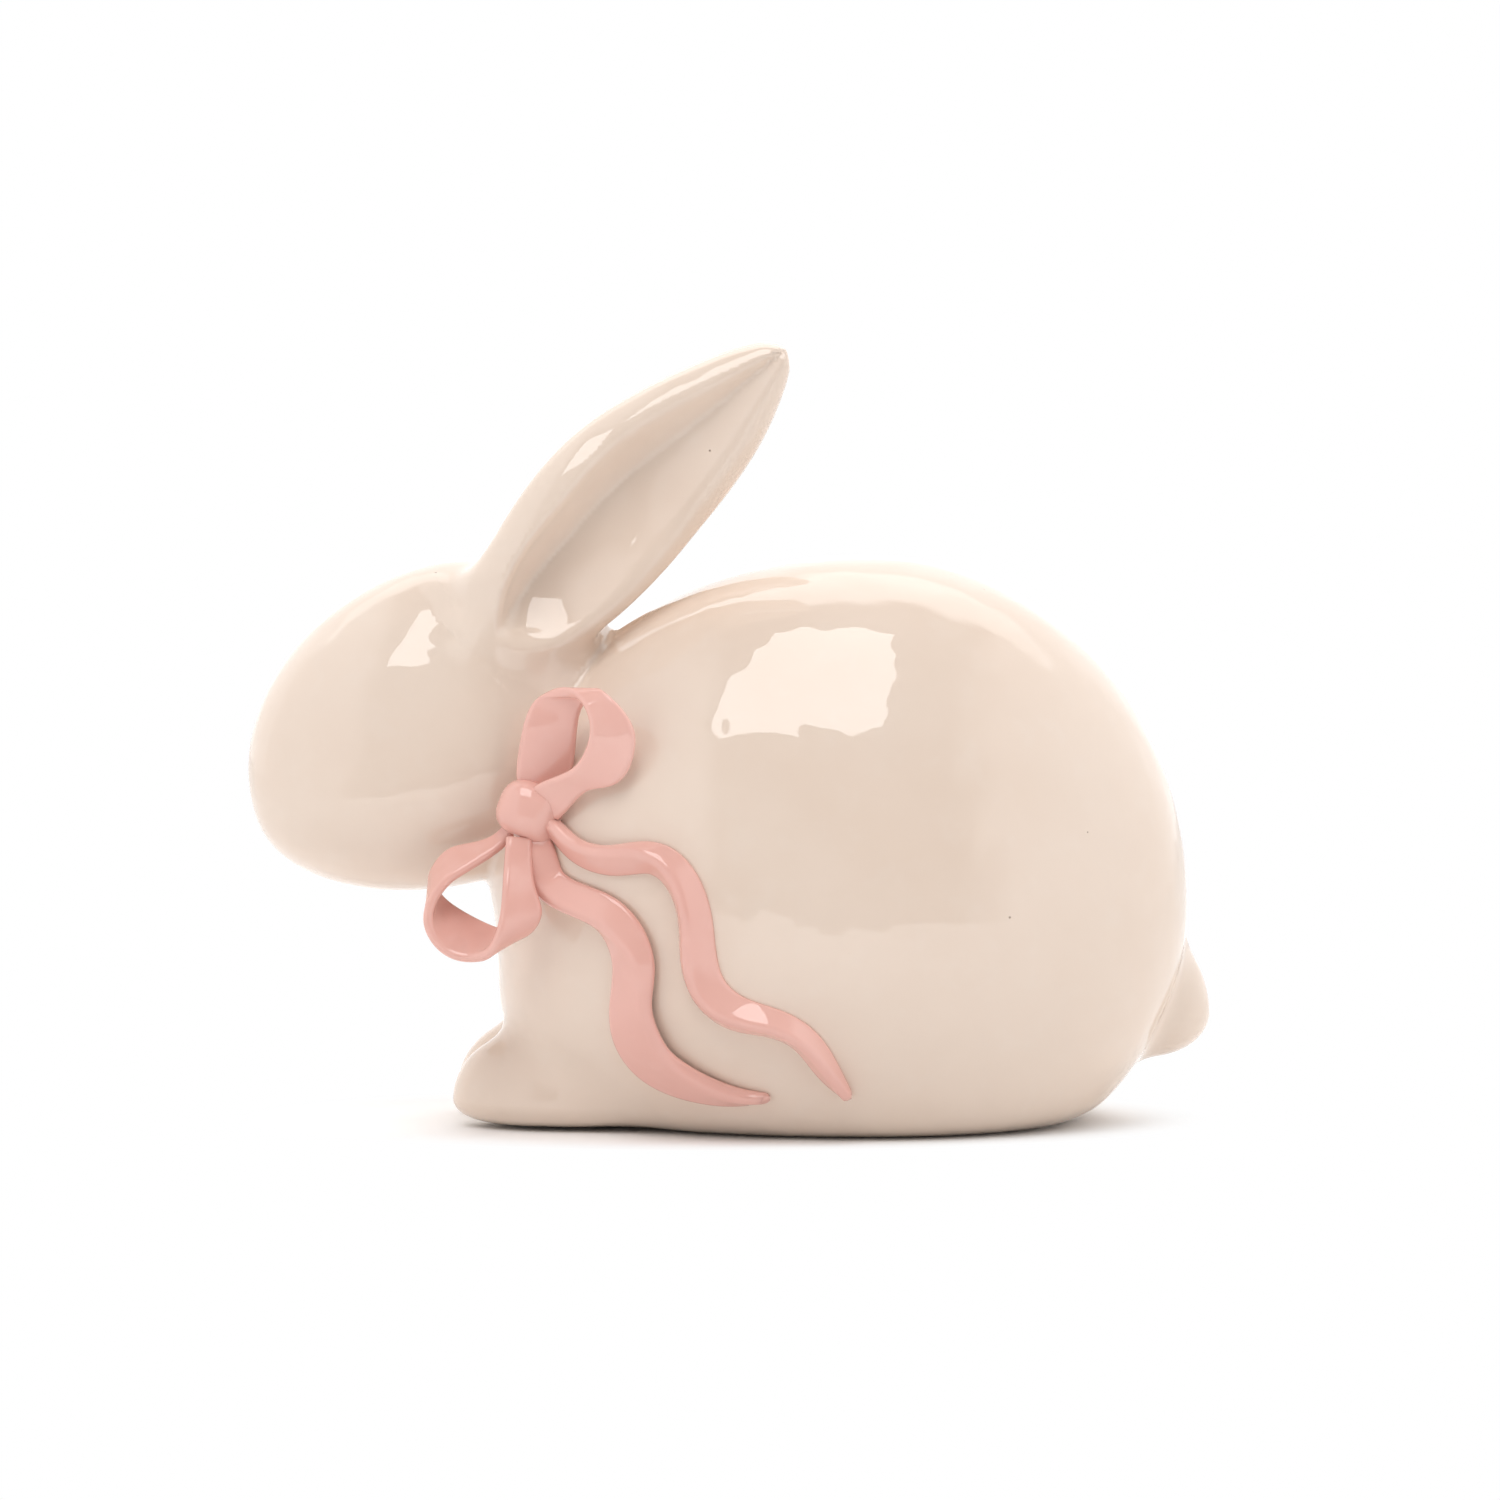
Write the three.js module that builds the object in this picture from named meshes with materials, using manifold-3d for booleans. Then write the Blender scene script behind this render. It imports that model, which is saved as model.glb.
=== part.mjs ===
// A glazed ceramic bunny with a clay ribbon bow on its neck.
// Millimetres, +Z up. The bunny looks along -X, and the bow is on its -Y side.
// The origin is the middle of the bounding box's base.
import * as THREE from 'three';
import { mergeVertices } from 'three/addons/utils/BufferGeometryUtils.js';
import Module from 'manifold-3d';

const wasm = await Module();
wasm.setup();

// body: an egg made of quarter ellipsoids about one centre
const BODY_CENTRE = new THREE.Vector3(30, 0, 48);
const BODY_FRONT = 88;
const BODY_REAR = 72.6;
const BODY_HALF_WIDTH = 57;
const BODY_TOP = 78.5;
const BODY_LOW = 65;
const BODY_SIDE_POWER = 2.5;
const BODY_TOP_POWER = 2.1;
const CHEST_TUCK = 0.065;
const TUCK_START = 20;
const TUCK_SPAN = 50;

// head: a tilted egg
const HEAD_CENTRE = new THREE.Vector3(-56.9, 0, 84);
const HEAD_TILT = THREE.MathUtils.degToRad(17.6);
const HEAD_SNOUT = 51.6;
const HEAD_BACK = 40;
const HEAD_HALF_WIDTH = 29.5;
const HEAD_CROWN = 42;
const HEAD_JAW = 29.5;
const HEAD_SIDE_POWER = 2.8;
const HEAD_NARROWING = 0.1;

// tail: a rounded cone on the rump
const TAIL_CENTRE = new THREE.Vector3(94, 0, 24);
const TAIL_ROOT = 20;
const TAIL_REACH = 14;
const TAIL_HALF_WIDTH = 12;
const TAIL_RISE = 19.5;
const TAIL_DROP = 10;
const TAIL_RISE_POWER = 1.8;

// forepaws, each turned a little outwards at its rear
const PAW_CENTRE = new THREE.Vector3(-42, -16, 6);
const PAW_TURN = THREE.MathUtils.degToRad(15);
const PAW_TOE = 20;
const PAW_HEEL = 30;
const PAW_HALF_WIDTH = 12.5;
const PAW_RISE = 16;
const PAW_DROP = 9;

// ears: flattened leaves that stand a little proud at the root, each with a hollow facing outwards
const EAR_ROOT = new THREE.Vector3(-41, -24, 118);
const EAR_LEAN = THREE.MathUtils.degToRad(45);
const EAR_ROLL = THREE.MathUtils.degToRad(12);
const EAR_HALF_WIDTH = 18.05;
const EAR_WIDEST = 24;
const EAR_TO_TIP = 54;
const EAR_TO_FOOT = 44;
const EAR_TAPER_POWER = 1.7;
const EAR_TAPER_SHARPNESS = 0.69;
const EAR_THINNEST_TAPER = 0.01;
const EAR_TIP_END = 77;
const EAR_FOOT_END = -19;
const EAR_END_RADIUS = 4;
const EAR_MIDDLE = 0.5;
const EAR_BELLY = 1.6;
const EAR_BELLY_SPAN = 38;
const EAR_HALF_THICKNESS = 8.5;
const EAR_SET_BACK = 0.82;
const EAR_LIFT = 4;
const EAR_LIFT_MIDDLE = 8;
const EAR_LIFT_SPAN = 30;
const EAR_SLANT_LIMIT = 1.2;
const EAR_CORE_START = -14;
const EAR_CORE_END = 74;
const EAR_CORE_WIDTH = 0.85;
const HOLLOW_DEPTH = 10.5;
const HOLLOW_POWER = 1.4;
const VALLEY = 0.08;
const HOLLOW_MIDDLE = 24;
const HOLLOW_TO_ROOT = 30;
const HOLLOW_TO_TIP = 51;
const BOWL_POWER = 4;
const HOLLOW_FRONT = 0.62;
const HOLLOW_REAR = 0.76;
const HOLLOW_TIP_EDGE = 0.9;
const HOLLOW_OPENING = 16;
const OPENING_SPAN = 34;
const HOLLOW_SLANT = 0.7;

// soft edges of the hollow and of the foot
const HOLLOW_FILLET = 1.6;
const FOOT_FILLET = 6;

// casting
const WALL = 4.5;
const SEAM = 0.3;
const NECK_BORE_RADIUS = 6;
const NECK_CENTRE = new THREE.Vector3(-48, 0, 78);
const NECK_AXIS = new THREE.Vector3(-0.87, 0, 0.49).normalize();
const VENT_RADIUS = 5;
const VENT_CENTRE = new THREE.Vector3(26, 0, 0);

// bow of clay strips
const STRIP_THICKNESS = 2.2;
const STRIP_FLATNESS = 0.6;
const STRIP_EDGE_FLATNESS = 0.8;
const KNOT_CENTRE = new THREE.Vector3(-43.1, -35.9, 71.9);
const KNOT_HALF = new THREE.Vector3(7.7, 5.8, 6.4);
const KNOT_TILT = THREE.MathUtils.degToRad(-22);
const KNOT_POWER = 2.8;
const STREAMER_CREST = 2.5;
const STREAMER_FIRST_CREST = 3.4;

// number of facets
const BODY_FACETS = [48, 34];
const HEAD_FACETS = [34, 24];
const CAVITY_FACETS = [24, 16];
const EAR_FACETS = [34, 28];
const SMALL_FACETS = [26, 18];
const KNOT_FACETS = [20, 14];

const IVORY = new THREE.MeshStandardMaterial({ color: 0xeadfce, roughness: 0.12, metalness: 0 });
const PINK = new THREE.MeshStandardMaterial({ color: 0xe6b4a8, roughness: 0.15, metalness: 0 });

// forms: each gives about the distance to its surface, negative inside

function joined(a, b, fillet) {
  const near = Math.max(fillet - Math.abs(a - b), 0) / fillet;
  return Math.min(a, b) - near * near * fillet * 0.25;
}

function common(a, b, fillet) {
  return -joined(-a, -b, fillet);
}

function egg(q, half, powers) {
  const size = [q.x / half[0], q.y / half[1], q.z / half[2]].map(Math.abs);
  let value = 0;
  let slope = 0;
  for (let i = 0; i < 3; i++) {
    value += size[i] ** powers[i];
    slope += (powers[i] * size[i] ** (powers[i] - 1) / half[i]) ** 2;
  }
  const root = Math.sqrt(Math.max(value, 1e-9));
  return (root - 1) * 2 * root / (Math.sqrt(slope) + 1e-9);
}

function bodyForm(p) {
  const q = p.clone().sub(BODY_CENTRE);
  const low = q.z < 0;
  const tuck = THREE.MathUtils.clamp((TUCK_START - q.z) / TUCK_SPAN, 0, 1);
  if (q.x < 0) q.x *= 1 + CHEST_TUCK * (4 * tuck * (1 - tuck)) ** 2;
  const half = [q.x < 0 ? BODY_FRONT : BODY_REAR, BODY_HALF_WIDTH, low ? BODY_LOW : BODY_TOP];
  return egg(q, half, [2, BODY_SIDE_POWER, low ? 2 : BODY_TOP_POWER]);
}

function headForm(p) {
  const q = p.clone().sub(HEAD_CENTRE).applyAxisAngle(new THREE.Vector3(0, 1, 0), HEAD_TILT);
  const narrowing = HEAD_NARROWING * THREE.MathUtils.clamp(q.z / HEAD_CROWN, -1, 1);
  const width = HEAD_HALF_WIDTH * (1 - narrowing);
  const half = [q.x < 0 ? HEAD_SNOUT : HEAD_BACK, width, q.z < 0 ? HEAD_JAW : HEAD_CROWN];
  return egg(q, half, [2, HEAD_SIDE_POWER, 2]);
}

function tailForm(p) {
  const q = p.clone().sub(TAIL_CENTRE);
  const half = [q.x < 0 ? TAIL_ROOT : TAIL_REACH, TAIL_HALF_WIDTH, q.z < 0 ? TAIL_DROP : TAIL_RISE];
  return egg(q, half, [2, 2, q.z < 0 ? 2 : TAIL_RISE_POWER]);
}

// the pieces in pairs are described on the -Y side
function pawForm(p) {
  const q = p.clone().sub(PAW_CENTRE).applyAxisAngle(new THREE.Vector3(0, 0, 1), PAW_TURN);
  const half = [q.x < 0 ? PAW_TOE : PAW_HEEL, PAW_HALF_WIDTH, q.z < 0 ? PAW_DROP : PAW_RISE];
  return egg(q, half, [2, 2, 2]);
}

const EAR_ALONG = new THREE.Vector3(Math.cos(EAR_LEAN), 0, Math.sin(EAR_LEAN));
const EAR_ACROSS = new THREE.Vector3(-Math.sin(EAR_LEAN), 0, Math.cos(EAR_LEAN))
  .applyAxisAngle(EAR_ALONG, EAR_ROLL);
const EAR_OUTWARD = new THREE.Vector3(0, -1, 0).applyAxisAngle(EAR_ALONG, EAR_ROLL);

// 1 at the middle of a span and 0 beyond its ends
function swell(along, middle, span) {
  return Math.max(0, 1 - ((along - middle) / span) ** 2) ** 2;
}

function earPlace(p) {
  const q = p.clone().sub(EAR_ROOT);
  const along = q.dot(EAR_ALONG);
  const lift = EAR_LIFT * swell(along, EAR_LIFT_MIDDLE, EAR_LIFT_SPAN);
  return [along, q.dot(EAR_ACROSS), q.dot(EAR_OUTWARD) - lift];
}

// the leaf at a place along it: half width, its change, middle line and half thickness
function earLeaf(along) {
  const tip = along > EAR_WIDEST;
  const reach = tip ? EAR_TO_TIP : EAR_TO_FOOT;
  const power = tip ? EAR_TAPER_POWER : 2;
  const sharpness = tip ? EAR_TAPER_SHARPNESS : 0.5;
  const u = Math.abs(along - EAR_WIDEST) / reach;
  const left = Math.max(1 - u ** power, EAR_THINNEST_TAPER);
  const width = EAR_HALF_WIDTH * left ** sharpness;
  const change = width * sharpness * power * u ** (power - 1) / left / reach;
  const middle = EAR_MIDDLE + EAR_BELLY * swell(along, EAR_WIDEST, EAR_BELLY_SPAN);
  return { width, change, middle, thick: EAR_HALF_THICKNESS * Math.sqrt(width / EAR_HALF_WIDTH) };
}

function earForm(p) {
  const [along, across, outward] = earPlace(p);
  const { width, change, middle, thick } = earLeaf(along);
  const v = (across - middle) / width;
  const h = outward / thick + EAR_SET_BACK;
  const size = Math.hypot(v, h) + 1e-9;
  const slant = Math.hypot(1, Math.min(Math.abs(v) * change, EAR_SLANT_LIMIT));
  const slope = Math.hypot(v / width * slant, h / thick) / size;
  const d = common((size - 1) / (slope + 1e-3), along - EAR_TIP_END, EAR_END_RADIUS);
  return common(d, EAR_FOOT_END - along, EAR_END_RADIUS);
}

// the hollow widens towards the tip until only a thin rim is left
function hollowFloor(along, across) {
  const { width, middle } = earLeaf(along);
  const open = THREE.MathUtils.smoothstep(along, HOLLOW_OPENING, HOLLOW_OPENING + OPENING_SPAN);
  const front = THREE.MathUtils.lerp(HOLLOW_FRONT, HOLLOW_TIP_EDGE, open);
  const rear = THREE.MathUtils.lerp(HOLLOW_REAR, HOLLOW_TIP_EDGE, open);
  const v = (across - middle) / width;
  const w = (v - VALLEY) / (v > VALLEY ? front - VALLEY : -rear - VALLEY);
  const low = along < HOLLOW_MIDDLE;
  const x = Math.abs(along - HOLLOW_MIDDLE) / (low ? HOLLOW_TO_ROOT : HOLLOW_TO_TIP);
  return HOLLOW_DEPTH * (w ** HOLLOW_POWER + x ** (low ? BOWL_POWER : 2) - 1);
}

function hollowForm(p) {
  const [along, across, outward] = earPlace(p);
  return (outward - hollowFloor(along, across)) * HOLLOW_SLANT;
}

function bodySkin(p) {
  return common(bodyForm(p), -p.z, FOOT_FILLET);
}

function pawSkin(p) {
  return Math.max(common(pawForm(p), -p.z, FOOT_FILLET), p.y + SEAM / 2);
}

function earSkin(p) {
  return common(earForm(p), hollowForm(p), HOLLOW_FILLET);
}

// solids

const ALONG_X = new THREE.Vector3(1, 0, 0);

function welded(geometry) {
  geometry.deleteAttribute('normal');
  geometry.deleteAttribute('uv');
  return mergeVertices(geometry, 1e-5);
}

function solid(geometry) {
  return new wasm.Manifold(new wasm.Mesh({
    numProp: 3,
    vertProperties: new Float32Array(geometry.attributes.position.array),
    triVerts: new Uint32Array(geometry.index.array),
  }));
}

// a sphere whose points are pushed out from inside onto the surface of a form;
// launch gives each point's start inside the form and its way out
function cast([around, down], launch, form, pole = ALONG_X) {
  const turn = new THREE.Quaternion().setFromUnitVectors(new THREE.Vector3(0, 1, 0), pole);
  const geometry = welded(new THREE.SphereGeometry(1, around, down)).applyQuaternion(turn);
  const places = geometry.attributes.position;
  for (let i = 0; i < places.count; i++) {
    const radius = new THREE.Vector3().fromBufferAttribute(places, i).normalize();
    const [start, way] = launch.isVector3 ? [launch, radius] : launch(radius);
    let near = 0;
    let far = 2;
    while (form(start.clone().addScaledVector(way, far)) < 0) {
      near = far;
      far += 2;
    }
    for (let n = 0; n < 24; n++) {
      const middle = (near + far) / 2;
      if (form(start.clone().addScaledVector(way, middle)) < 0) near = middle;
      else far = middle;
    }
    places.setXYZ(i, ...start.clone().addScaledVector(way, near).toArray());
  }
  return solid(geometry);
}

function grown(form, amount) {
  return (p) => form(p) - amount;
}

function cylinder(radius, length, centre, direction) {
  const geometry = welded(new THREE.CylinderGeometry(radius, radius, length, 24));
  const turn = new THREE.Quaternion().setFromUnitVectors(new THREE.Vector3(0, 1, 0), direction);
  geometry.applyQuaternion(turn).translate(...centre.toArray());
  return solid(geometry);
}

function mirror(part) {
  return part.mirror([0, 1, 0]);
}

function fitted(part, rooms) {
  return rooms.reduce((rest, room) => rest.subtract(room), part);
}

const BODY_HEART = new THREE.Vector3(26, 0, 46);
const PAW_HEART = new THREE.Vector3(PAW_CENTRE.x, PAW_CENTRE.y, PAW_CENTRE.z + 2);
const neckBore = cylinder(NECK_BORE_RADIUS, 4 * WALL, NECK_CENTRE, NECK_AXIS);
const vent = cylinder(VENT_RADIUS, 4 * WALL, VENT_CENTRE, new THREE.Vector3(0, 0, 1));

const bodyOuter = cast(BODY_FACETS, BODY_HEART, bodySkin);
const bodyCavity = cast(CAVITY_FACETS, BODY_HEART, grown(bodySkin, -WALL));
const body = fitted(bodyOuter, [bodyCavity, neckBore, vent]);
const bodyRoom = cast(BODY_FACETS, BODY_HEART, grown(bodySkin, SEAM));

// the head is a cup whose rim sits on the body
const HEAD_AXIS = new THREE.Vector3(Math.cos(HEAD_TILT), 0, Math.sin(HEAD_TILT));
const headOuter = cast(HEAD_FACETS, HEAD_CENTRE, headForm, HEAD_AXIS);
const headCavity = cast(CAVITY_FACETS, HEAD_CENTRE, grown(headForm, -WALL), HEAD_AXIS);
const head = fitted(headOuter, [headCavity, bodyRoom]);
const headRoom = cast(HEAD_FACETS, HEAD_CENTRE, grown(headForm, SEAM), HEAD_AXIS);

const tail = fitted(cast(SMALL_FACETS, TAIL_CENTRE, tailForm), [bodyRoom]);
const paw = cast(SMALL_FACETS, PAW_HEART, pawSkin);

// the ear's points start from a sheet in the middle of its clay
function earCore(radius) {
  const lengthwise = radius.dot(EAR_ALONG);
  const girth = Math.max(Math.sqrt(1 - Math.min(1, lengthwise ** 2)), 1e-6);
  const along = THREE.MathUtils.lerp(EAR_CORE_START, EAR_CORE_END, (lengthwise + 1) / 2);
  const { width, middle, thick } = earLeaf(along);
  const sideways = EAR_CORE_WIDTH * radius.dot(EAR_ACROSS) / girth;
  const across = middle + sideways * width;
  const bulge = thick * Math.sqrt(1 - sideways ** 2);
  const front = bulge - thick * EAR_SET_BACK;
  const back = -bulge - thick * EAR_SET_BACK;
  const lift = EAR_LIFT * swell(along, EAR_LIFT_MIDDLE, EAR_LIFT_SPAN);
  const start = EAR_ROOT.clone()
    .addScaledVector(EAR_ALONG, along)
    .addScaledVector(EAR_ACROSS, across)
    .addScaledVector(EAR_OUTWARD, lift + (back + Math.min(hollowFloor(along, across), front)) / 2);
  const way = radius.clone().addScaledVector(EAR_ALONG, lengthwise ** 3 - lengthwise).normalize();
  return [start, way];
}
const ear = cast(EAR_FACETS, earCore, earSkin, EAR_ALONG);

// bow

function knotForm(p) {
  const q = p.clone().sub(KNOT_CENTRE).applyAxisAngle(new THREE.Vector3(0, 1, 0), KNOT_TILT);
  return egg(q, KNOT_HALF.toArray(), [KNOT_POWER, 2, KNOT_POWER]);
}
const knot = fitted(cast(KNOT_FACETS, KNOT_CENTRE, knotForm), [bodyRoom, headRoom]);
const knotRoom = cast(KNOT_FACETS, KNOT_CENTRE, grown(knotForm, SEAM));

// cross-section of a clay strip: flat with well rounded edges
const SECTION_POINTS = 12;
function section(i) {
  const angle = (i / SECTION_POINTS) * 2 * Math.PI;
  const flat = (value, power) => Math.sign(value) * Math.abs(value) ** power;
  return [flat(Math.cos(angle), STRIP_FLATNESS), flat(Math.sin(angle), STRIP_EDGE_FLATNESS)];
}

// a strip between two edge curves; rise is its half thickness
function strip(edgeA, edgeB, steps, rise, room) {
  const a = new THREE.CatmullRomCurve3(edgeA, false, 'centripetal');
  const b = new THREE.CatmullRomCurve3(edgeB, false, 'centripetal');
  const points = [];
  const index = [];
  for (let s = 0; s <= steps; s++) {
    const t = s / steps;
    const one = a.getPoint(t);
    const other = b.getPoint(t);
    const middle = one.clone().add(other).multiplyScalar(0.5);
    const across = other.clone().sub(one).multiplyScalar(0.5);
    const along = a.getTangent(t).add(b.getTangent(t));
    const up = along.cross(across).normalize();
    const wide = 1 + room / across.length();
    const thick = rise(t) + room;
    for (let i = 0; i < SECTION_POINTS; i++) {
      const [u, v] = section(i);
      const p = middle.clone().addScaledVector(across, u * wide).addScaledVector(up, v * thick);
      points.push(p.x, p.y, p.z);
    }
  }
  const ring = SECTION_POINTS;
  for (let s = 0; s < steps; s++) {
    for (let i = 0; i < ring; i++) {
      const j = (i + 1) % ring;
      const [p, q, r, w] = [s * ring + i, s * ring + j, (s + 1) * ring + i, (s + 1) * ring + j];
      index.push(p, q, w, p, w, r);
    }
  }
  for (let i = 1; i < ring - 1; i++) {
    index.push(0, i + 1, i);
    index.push(steps * ring, steps * ring + i, steps * ring + i + 1);
  }
  const geometry = new THREE.BufferGeometry();
  geometry.setAttribute('position', new THREE.Float32BufferAttribute(points, 3));
  geometry.setIndex(index);
  return solid(geometry);
}

function curve(points) {
  return points.map((p) => new THREE.Vector3(...p));
}

const UPPER_NEAR = curve([
  [-45.3, -34, 73], [-46.5, -32.5, 79.7], [-45.9, -33, 86], [-44.5, -34, 92.3],
  [-41.4, -36.5, 97.2], [-36.5, -41, 98.4], [-32.4, -45, 96.8], [-30.2, -47, 91.6],
  [-31.2, -46.4, 86], [-33.6, -44.8, 82.4], [-36.8, -43, 80.4], [-41, -40.5, 78.6],
  [-43.8, -38, 76.6],
]);
const UPPER_FAR = curve([
  [-38, -34, 73], [-34.8, -34.4, 79.6], [-33.6, -36, 85], [-33.1, -38, 90.4], [-31.7, -40, 95.4],
  [-28.1, -44, 98.4], [-24.2, -47, 96.4], [-20.4, -48, 90.2], [-21.4, -47, 82.4],
  [-25.2, -45.4, 78.4], [-30.3, -43, 77.2], [-34.6, -41, 73.2], [-37, -39, 70.5],
]);
const LOWER_NEAR = curve([
  [-46, -36.4, 69.5], [-49.5, -37, 64.4], [-57.5, -40, 59.2], [-61.6, -41, 56.4],
  [-64.4, -42, 52.8], [-65.8, -42.5, 48.1], [-64.2, -43.5, 43.6], [-60.2, -44.5, 40.6],
  [-55.6, -45.5, 40.2], [-52.3, -46.5, 42.4], [-50, -46, 49.1], [-49.3, -43.5, 56.5],
  [-48.7, -39, 66.5],
]);
const LOWER_FAR = curve([
  [-47.4, -34, 71.5], [-52.3, -33, 65.8], [-59.4, -32, 63.8], [-63, -32, 61.6], [-65, -32, 58],
  [-64.4, -32.5, 54.6], [-61.4, -33, 51.4], [-55.8, -34.5, 48.2], [-50.2, -37, 46],
  [-44.5, -40, 45.8], [-40.8, -43, 50.2], [-42.4, -41, 56.3], [-43, -38.4, 66],
]);

const LOOP_STEPS = 26;
const even = () => STRIP_THICKNESS / 2;
function loop(near, far, room) {
  return strip(near, far, LOOP_STEPS, even, room);
}

// the flank's own surface under the streamers
function flank(x, z) {
  let inner = 0;
  let outer = -BODY_HALF_WIDTH - FOOT_FILLET;
  for (let n = 0; n < 30; n++) {
    const y = (inner + outer) / 2;
    if (bodySkin(new THREE.Vector3(x, y, z)) < 0) inner = y;
    else outer = y;
  }
  return new THREE.Vector3(x, inner, z);
}

// a streamer laid on the flank: its middle line as x, z and width
function streamer(line, steps, room) {
  const middles = new THREE.CatmullRomCurve3(line.map(([x, z, width]) => new THREE.Vector3(x, width, z)));
  const near = [];
  const far = [];
  for (let s = 0; s <= steps; s++) {
    const t = s / steps;
    const p = middles.getPoint(t);
    const along = middles.getTangent(t).setY(0).normalize();
    const side = new THREE.Vector3(-along.z, 0, along.x).multiplyScalar(p.y / 2);
    const sides = [p.clone().add(side), p.clone().sub(side)].map((q) => flank(q.x, q.z));
    near.push(sides[0]);
    far.push(sides[1]);
  }
  const rise = (t) => THREE.MathUtils.lerp(STREAMER_FIRST_CREST, STREAMER_CREST, Math.min(1, 3 * t));
  return strip(near, far, steps, rise, room);
}

const STREAMER_FRONT = [
  [-43, 69, 5], [-40.4, 63, 6], [-38.6, 57, 7], [-33.3, 53.2, 7.8], [-27, 50.6, 8.4], [-22.4, 46, 9.2],
  [-20.2, 39.2, 9.6], [-20.7, 31.7, 9.6], [-20, 24.8, 10.8], [-16.6, 18.7, 10.4], [-11, 14.6, 9],
  [-4.5, 12, 7], [2.3, 10.6, 4.6], [9, 10.6, 1.8],
];
const STREAMER_REAR = [
  [-42, 71, 4], [-37.5, 68, 4.6], [-32.6, 63.8, 5.6], [-25, 62, 6.6], [-16.7, 62.8, 7], [-10.5, 58.7, 7.2],
  [-7.4, 51, 7.3], [-6.6, 43, 7.8], [-4.6, 35, 8.2], [1.3, 29.6, 7.8], [9.2, 27.4, 6.6], [16.4, 23.7, 6.1],
  [21.5, 17, 5.4], [26.4, 10.6, 2.2],
];
const STREAMER_STEPS = 34;

const ceramicRooms = [bodyRoom, headRoom, knotRoom];
const upperLoop = fitted(loop(UPPER_NEAR, UPPER_FAR, 0), ceramicRooms);
const upperRoom = loop(UPPER_NEAR, UPPER_FAR, SEAM);
const lowerLoop = fitted(loop(LOWER_NEAR, LOWER_FAR, 0), [...ceramicRooms, upperRoom]);
const lowerRoom = loop(LOWER_NEAR, LOWER_FAR, SEAM);
const loopRooms = [...ceramicRooms, upperRoom, lowerRoom];
const frontStreamer = fitted(streamer(STREAMER_FRONT, STREAMER_STEPS, 0), loopRooms);
const frontRoom = streamer(STREAMER_FRONT, STREAMER_STEPS, SEAM);
const rearStreamer = fitted(streamer(STREAMER_REAR, STREAMER_STEPS, 0), [...loopRooms, frontRoom]);

// assembly

function largest(part) {
  const pieces = part.decompose();
  pieces.sort((a, b) => b.volume() - a.volume());
  return pieces[0];
}

const figure = new THREE.Group();
figure.name = 'bunny_figurine';

function add(name, part, material) {
  const mesh = largest(part).getMesh();
  const geometry = new THREE.BufferGeometry();
  geometry.setAttribute('position', new THREE.Float32BufferAttribute(mesh.vertProperties, 3));
  geometry.setIndex(new THREE.Uint32BufferAttribute(mesh.triVerts, 1));
  geometry.computeVertexNormals();
  const made = new THREE.Mesh(geometry, material);
  made.name = name;
  figure.add(made);
}

add('body_shell', body, IVORY);
add('head_shell', head, IVORY);
add('ear_left', fitted(ear, [headRoom, bodyRoom]), IVORY);
add('ear_right', fitted(mirror(ear), [headRoom, bodyRoom]), IVORY);
add('forepaw_left', fitted(paw, [bodyRoom]), IVORY);
add('forepaw_right', fitted(mirror(paw), [bodyRoom]), IVORY);
add('tail', tail, IVORY);
add('bow_knot', knot, PINK);
add('bow_loop_upper', upperLoop, PINK);
add('bow_loop_lower', lowerLoop, PINK);
add('bow_streamer_front', frontStreamer, PINK);
add('bow_streamer_rear', rearStreamer, PINK);

// the box's base middle becomes the origin
const box = new THREE.Box3().setFromObject(figure);
const middle = box.getCenter(new THREE.Vector3()).setZ(box.min.z);
for (const mesh of figure.children) mesh.geometry.translate(-middle.x, -middle.y, -middle.z);

export default figure;
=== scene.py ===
# A glazed ceramic bunny with a bow of clay ribbon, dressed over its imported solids.
# The forms are worked out in millimetres and written to the meshes in metres.
import math

import bmesh
import bpy
import numpy as np
from mathutils import Matrix, Vector


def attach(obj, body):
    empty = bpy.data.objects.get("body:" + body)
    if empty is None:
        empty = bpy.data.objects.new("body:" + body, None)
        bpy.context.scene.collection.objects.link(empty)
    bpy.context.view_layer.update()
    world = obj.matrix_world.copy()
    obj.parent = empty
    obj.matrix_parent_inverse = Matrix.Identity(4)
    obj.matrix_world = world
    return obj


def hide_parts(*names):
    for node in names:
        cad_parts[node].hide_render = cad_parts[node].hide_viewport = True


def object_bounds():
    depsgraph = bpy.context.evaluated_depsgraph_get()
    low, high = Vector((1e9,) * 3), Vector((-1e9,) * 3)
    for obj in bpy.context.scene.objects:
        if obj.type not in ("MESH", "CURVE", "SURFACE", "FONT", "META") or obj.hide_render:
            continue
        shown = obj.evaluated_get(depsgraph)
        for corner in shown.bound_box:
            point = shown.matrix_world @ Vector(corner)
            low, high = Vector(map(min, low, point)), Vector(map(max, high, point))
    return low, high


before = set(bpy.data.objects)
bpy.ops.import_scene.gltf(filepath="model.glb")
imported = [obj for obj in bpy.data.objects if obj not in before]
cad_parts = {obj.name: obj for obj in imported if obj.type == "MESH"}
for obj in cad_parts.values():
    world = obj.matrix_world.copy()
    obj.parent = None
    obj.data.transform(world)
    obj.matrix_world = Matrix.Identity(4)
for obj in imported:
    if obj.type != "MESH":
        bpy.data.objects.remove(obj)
cad_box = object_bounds()

MM = 0.001
# keeps divisions clear of zero
TINY = 1e-9

# camera: a long lens a little above the table
CAMERA_DISTANCE = 1500.0
CAMERA_ELEVATION = math.radians(3.9)
CAMERA_TARGET = Vector((4.5, 0.0, 83.0))
CAMERA_LENS, CAMERA_SENSOR = 160.63, 36.0
CAMERA_NEAR, CAMERA_FAR = 0.05, 50.0


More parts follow.
